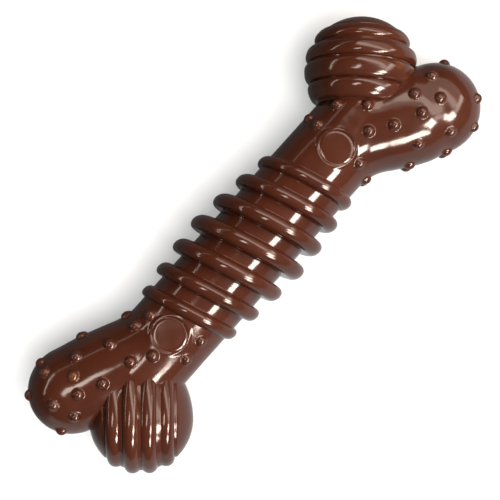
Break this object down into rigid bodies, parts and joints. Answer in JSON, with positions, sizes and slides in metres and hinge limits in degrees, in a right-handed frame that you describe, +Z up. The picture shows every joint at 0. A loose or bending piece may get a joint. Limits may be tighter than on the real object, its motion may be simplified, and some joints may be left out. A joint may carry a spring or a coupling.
{
  "type": "nylon chew bone",
  "caption": "Bone-shaped dog chew of brown nylon: a ringed shaft with a forked knuckle at each end, one prong a nubbed lobe and the other a ridged ball.",
  "frame": {"origin": "on the ground under the middle of the bone, midway between its two tips", "axes": "+X along the shaft towards the upper end, +Y across the bone in the plane of the two knuckles, +Z up, out of the face with the round pads"},
  "size_m": [0.1894, 0.0653, 0.043],
  "materials": {
    "brown_nylon": "glossy moulded nylon"
  },
  "bodies": {
    "root": {"shaft": "brown_nylon", "ring_1": "brown_nylon", "ring_2": "brown_nylon", "ring_3": "brown_nylon", "ring_4": "brown_nylon", "ring_5": "brown_nylon", "ring_6": "brown_nylon", "ring_7": "brown_nylon", "upper_knuckle": "brown_nylon", "lower_knuckle": "brown_nylon", "upper_knob": "brown_nylon", "lower_knob": "brown_nylon", "upper_ridge_1": "brown_nylon", "upper_ridge_2": "brown_nylon", "upper_ridge_3": "brown_nylon", "upper_ridge_4": "brown_nylon", "lower_ridge_1": "brown_nylon", "lower_ridge_2": "brown_nylon", "lower_ridge_3": "brown_nylon", "lower_ridge_4": "brown_nylon", "upper_nubs": "brown_nylon", "lower_nubs": "brown_nylon", "upper_pad": "brown_nylon", "lower_pad": "brown_nylon"}
  },
  "joints": []
}
